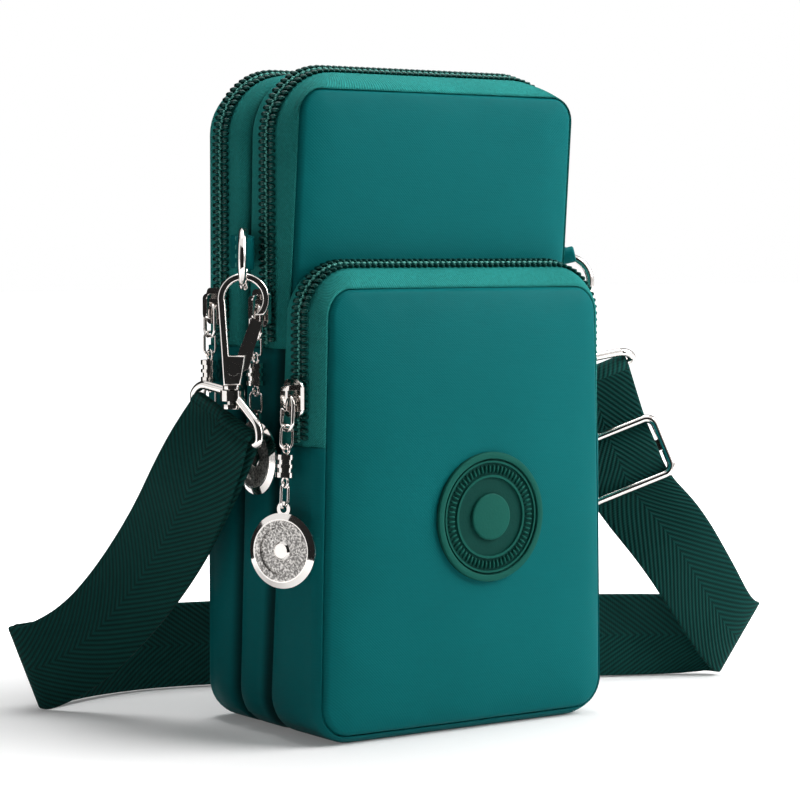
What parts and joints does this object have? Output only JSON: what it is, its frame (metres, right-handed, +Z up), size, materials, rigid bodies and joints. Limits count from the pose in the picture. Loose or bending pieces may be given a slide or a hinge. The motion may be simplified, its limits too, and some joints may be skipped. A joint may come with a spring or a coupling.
{
  "type": "phone pouch",
  "caption": "Upright zipped phone pouch with stacked compartments, coil zips with charm pulls, a round rubber badge, side snap hooks and a doubled webbing shoulder strap with a wire buckle.",
  "frame": {"origin": "middle of the base, under the middle compartment", "axes": "+Z up, the front pocket faces -Y, +X to the right seen from the front"},
  "size_m": [0.2202, 0.1155, 0.1812],
  "materials": {
    "nylon": "teal satin nylon bonded to thin foam",
    "zip_tape": "green woven twill tape",
    "coil": "dyed coil teeth",
    "badge_rubber": "matte moulded rubber",
    "nickel": "bright nickel plating",
    "tab_cloth": "folded nylon tape",
    "webbing": "dark green herringbone webbing"
  },
  "bodies": {
    "pouch": {"back_panel_lower": "nylon", "divider_panel": "nylon", "main_front_lower": "nylon", "pocket_front_lower": "nylon", "rear_gusset": "nylon", "middle_gusset": "nylon", "pocket_gusset": "nylon", "rear_zip_tape_fixed": "zip_tape", "rear_zip_coil_fixed": "coil", "middle_zip_tape_fixed": "zip_tape", "middle_zip_coil_fixed": "coil", "pocket_zip_tape_fixed": "zip_tape", "pocket_zip_coil_fixed": "coil", "badge": "badge_rubber", "left_tab": "tab_cloth", "right_tab": "tab_cloth", "left_strap_loop": "nickel", "right_strap_loop": "nickel", "strap_inner_layer": "webbing", "strap_outer_layer": "webbing", "strap_end": "webbing", "buckle_frame": "nickel", "buckle_bar": "nickel"},
    "rear_flap": {"back_panel_upper": "nylon", "rear_zip_tape_moving": "zip_tape", "rear_zip_coil_moving": "coil"},
    "middle_flap": {"main_front_upper": "nylon", "middle_zip_tape_moving": "zip_tape", "middle_zip_coil_moving": "coil"},
    "pocket_flap": {"pocket_front_upper": "nylon", "pocket_zip_tape_moving": "zip_tape", "pocket_zip_coil_moving": "coil"},
    "rear_slider": {"rear_slider": "nickel"},
    "rear_pull": {"rear_pull_bail": "nickel", "rear_pull_ring": "nickel", "rear_pull_barrel": "nickel"},
    "rear_tag": {"rear_pull_link": "nickel", "rear_pull_disc": "nickel"},
    "middle_slider": {"middle_slider": "nickel"},
    "middle_pull": {"middle_pull_bail": "nickel", "middle_pull_ring": "nickel", "middle_pull_barrel": "nickel"},
    "middle_tag": {"middle_pull_link": "nickel", "middle_pull_disc": "nickel"},
    "pocket_slider": {"pocket_slider": "nickel"},
    "pocket_pull": {"pocket_pull_bail": "nickel", "pocket_pull_ring": "nickel", "pocket_pull_barrel": "nickel"},
    "pocket_tag": {"pocket_pull_link": "nickel", "pocket_pull_disc": "nickel"},
    "left_side_ring": {"left_ring": "nickel"},
    "left_hook": {"left_hook_body": "nickel", "left_hook_rivet": "nickel", "left_gate_spring": "nickel"},
    "left_gate": {"left_hook_gate": "nickel"},
    "right_side_ring": {"right_ring": "nickel"},
    "right_hook": {"right_hook_body": "nickel", "right_hook_rivet": "nickel", "right_gate_spring": "nickel"},
    "right_gate": {"right_hook_gate": "nickel"}
  },
  "joints": [
    {"name": "rear_flap_fold", "type": "hinge", "parent": "pouch", "child": "rear_flap", "pos_m": [0, 0.0295, 0.1332], "axis": [-1, 0, 0], "range_deg": [0, 45]},
    {"name": "middle_flap_fold", "type": "hinge", "parent": "pouch", "child": "middle_flap", "pos_m": [0, -0.01379, 0.1332], "axis": [1, 0, 0], "range_deg": [0, 45]},
    {"name": "pocket_flap_fold", "type": "hinge", "parent": "pouch", "child": "pocket_flap", "pos_m": [0, -0.0319, 0.099], "axis": [1, 0, 0], "range_deg": [0, 40]},
    {"name": "rear_slider_run", "type": "slide", "parent": "pouch", "child": "rear_slider", "axis": [0, 0, 1], "range_m": [0, 0.041]},
    {"name": "rear_pull_swing", "type": "hinge", "parent": "rear_slider", "child": "rear_pull", "pos_m": [-0.0524, 0.019, 0.11655], "axis": [0, 1, 0], "range_deg": [0, 6]},
    {"name": "rear_tag_turn", "type": "hinge", "parent": "rear_pull", "child": "rear_tag", "pos_m": [-0.0524, 0.019, 0.0937], "axis": [0, 0, 1], "range_deg": [-6, 6]},
    {"name": "middle_slider_run", "type": "slide", "parent": "pouch", "child": "middle_slider", "axis": [0, 0, 1], "range_m": [0, 0.004]},
    {"name": "middle_pull_swing", "type": "hinge", "parent": "middle_slider", "child": "middle_pull", "pos_m": [-0.0524, -0.005, 0.11655], "axis": [0, 1, 0], "range_deg": [0, 3]},
    {"name": "middle_tag_turn", "type": "hinge", "parent": "middle_pull", "child": "middle_tag", "pos_m": [-0.0524, -0.005, 0.0937], "axis": [0, 0, 1], "range_deg": [-6, 6]},
    {"name": "pocket_slider_run", "type": "slide", "parent": "pouch", "child": "pocket_slider", "axis": [0, 0, 1], "range_m": [0, 0.01]},
    {"name": "pocket_pull_swing", "type": "hinge", "parent": "pocket_slider", "child": "pocket_pull", "pos_m": [-0.0524, -0.021, 0.09305], "axis": [0, 1, 0], "range_deg": [0, 60]},
    {"name": "pocket_tag_turn", "type": "hinge", "parent": "pocket_pull", "child": "pocket_tag", "pos_m": [-0.0534, -0.021, 0.07022], "axis": [0.0436, 0, 0.999], "range_deg": [-30, 0]},
    {"name": "left_ring_swing", "type": "hinge", "parent": "pouch", "child": "left_side_ring", "pos_m": [-0.05445, -0.00305, 0.13068], "axis": [-0.1148, -0.1646, 0.9797], "range_deg": [-6, 3]},
    {"name": "left_hook_swivel", "type": "hinge", "parent": "pouch", "child": "left_hook", "pos_m": [-0.06114, -0.00723, 0.0956], "axis": [0, 0, 1], "range_deg": [-12, 12]},
    {"name": "left_gate_open", "type": "hinge", "parent": "left_hook", "child": "left_gate", "pos_m": [-0.06081, -0.00745, 0.0999], "axis": [-0.5721, -0.8202, 0], "range_deg": [0, 22], "stiffness_Nm_per_rad": 0.02, "springref_deg": -17.19},
    {"name": "right_ring_swing", "type": "hinge", "parent": "pouch", "child": "right_side_ring", "pos_m": [0.05745, 0.00304, 0.12921], "axis": [-0.7996, 0.5578, -0.2224], "range_deg": [-6, 1]},
    {"name": "right_hook_swivel", "type": "hinge", "parent": "pouch", "child": "right_hook", "pos_m": [0.07618, 0.01538, 0.09938], "axis": [-0.5701, -0.4709, 0.6733], "range_deg": [-18, 18]},
    {"name": "right_gate_open", "type": "hinge", "parent": "right_hook", "child": "right_gate", "pos_m": [0.07364, 0.01308, 0.102], "axis": [-0.7868, 0.5488, -0.2823], "range_deg": [0, 22], "stiffness_Nm_per_rad": 0.02, "springref_deg": -17.19}
  ]
}
